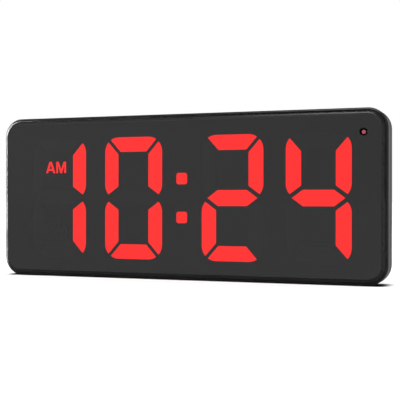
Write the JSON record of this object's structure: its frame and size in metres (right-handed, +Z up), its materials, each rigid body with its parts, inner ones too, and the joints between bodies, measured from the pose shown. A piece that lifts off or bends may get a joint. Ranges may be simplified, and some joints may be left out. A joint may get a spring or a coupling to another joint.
{
  "type": "digital wall clock",
  "caption": "Slim rounded black slab with a smoked front over red seven-segment digits; hangs on keyholes or stands on its base or fold-out leg.",
  "frame": {"origin": "middle of the body's box, on the surface it stands on", "axes": "+X to the right seen from the front, along the long side; +Y from the face to the back, through the thickness; +Z up"},
  "size_m": [0.32, 0.025, 0.1306],
  "materials": {
    "smoked_cover": "smoked acrylic, polished, slightly grey where it mirrors the room",
    "housing": "black ABS, satin with glossy rounded rim",
    "reflector": "matte black",
    "lit_segment": "red diffuser, evenly lit from behind",
    "unlit_segment": "dark tinted diffuser",
    "board": "green solder mask",
    "sensor_lens": "clear pinkish red resin dome",
    "sleeve_rubber": "black, matte",
    "button_rubber": "black, soft touch",
    "component_plastic": "black moulding compound",
    "crystal_can": "drawn steel can",
    "cell_steel": "nickel plated, finely turned",
    "pin_steel": "ground wire",
    "contact_brass": "spring brass",
    "screw_steel": "black zinc"
  },
  "bodies": {
    "clock_body": {"front_cover": "smoked_cover", "rear_cover": "housing", "display_frame": "reflector", "main_board": "board", "light_sensor": "sensor_lens", "sensor_sleeve": "sleeve_rubber", "stand_hinge_pin": "pin_steel", "coin_cell": "cell_steel", "battery_contact_minus": "contact_brass", "battery_contact_plus": "contact_brass", "dc_jack": "component_plastic", "alarm_buzzer": "component_plastic", "microcontroller": "component_plastic", "timekeeping_crystal": "crystal_can", "colon_dot_upper": "lit_segment", "colon_dot_lower": "lit_segment", "am_indicator": "lit_segment", "pm_indicator": "unlit_segment", "digit_1_segment_a": "unlit_segment", "digit_1_segment_b": "lit_segment", "digit_1_segment_c": "lit_segment", "digit_1_segment_d": "unlit_segment", "digit_1_segment_e": "unlit_segment", "digit_1_segment_f": "unlit_segment", "digit_1_segment_g": "unlit_segment", "digit_2_segment_a": "lit_segment", "digit_2_segment_b": "lit_segment", "digit_2_segment_c": "lit_segment", "digit_2_segment_d": "lit_segment", "digit_2_segment_e": "lit_segment", "digit_2_segment_f": "lit_segment", "digit_2_segment_g": "unlit_segment", "digit_3_segment_a": "lit_segment", "digit_3_segment_b": "lit_segment", "digit_3_segment_c": "unlit_segment", "digit_3_segment_d": "lit_segment", "digit_3_segment_e": "lit_segment", "digit_3_segment_f": "unlit_segment", "digit_3_segment_g": "lit_segment", "digit_4_segment_a": "unlit_segment", "digit_4_segment_b": "lit_segment", "digit_4_segment_c": "lit_segment", "digit_4_segment_d": "unlit_segment", "digit_4_segment_e": "unlit_segment", "digit_4_segment_f": "lit_segment", "digit_4_segment_g": "lit_segment", "tact_switch_set": "component_plastic", "tact_switch_alarm": "component_plastic", "tact_switch_up": "component_plastic", "tact_switch_down": "component_plastic", "rear_screw_1": "screw_steel", "rear_screw_2": "screw_steel", "rear_screw_3": "screw_steel", "rear_screw_4": "screw_steel"},
    "stand": {"stand_leg": "housing"},
    "battery_hatch": {"battery_door": "housing"},
    "set_button": {"button_set": "button_rubber"},
    "alarm_button": {"button_alarm": "button_rubber"},
    "up_button": {"button_up": "button_rubber"},
    "down_button": {"button_down": "button_rubber"}
  },
  "joints": [
    {"name": "stand_swing", "type": "hinge", "parent": "clock_body", "child": "stand", "pos_m": [0, 0.0091, 0.087], "axis": [1, 0, 0], "range_deg": [0, 40]},
    {"name": "battery_door_twist", "type": "hinge", "parent": "clock_body", "child": "battery_hatch", "pos_m": [0.06395, 0.0115, 0.068], "axis": [0, 1, 0], "range_deg": [0, 30]},
    {"name": "set_button_press", "type": "slide", "parent": "clock_body", "child": "set_button", "axis": [0, -1, 0], "range_m": [0, 0.0006], "stiffness_N_per_m": 800, "springref_m": -0.0005},
    {"name": "alarm_button_press", "type": "slide", "parent": "clock_body", "child": "alarm_button", "axis": [0, -1, 0], "range_m": [0, 0.0006], "stiffness_N_per_m": 800, "springref_m": -0.0005},
    {"name": "up_button_press", "type": "slide", "parent": "clock_body", "child": "up_button", "axis": [0, -1, 0], "range_m": [0, 0.0006], "stiffness_N_per_m": 800, "springref_m": -0.0005},
    {"name": "down_button_press", "type": "slide", "parent": "clock_body", "child": "down_button", "axis": [0, -1, 0], "range_m": [0, 0.0006], "stiffness_N_per_m": 800, "springref_m": -0.0005}
  ]
}
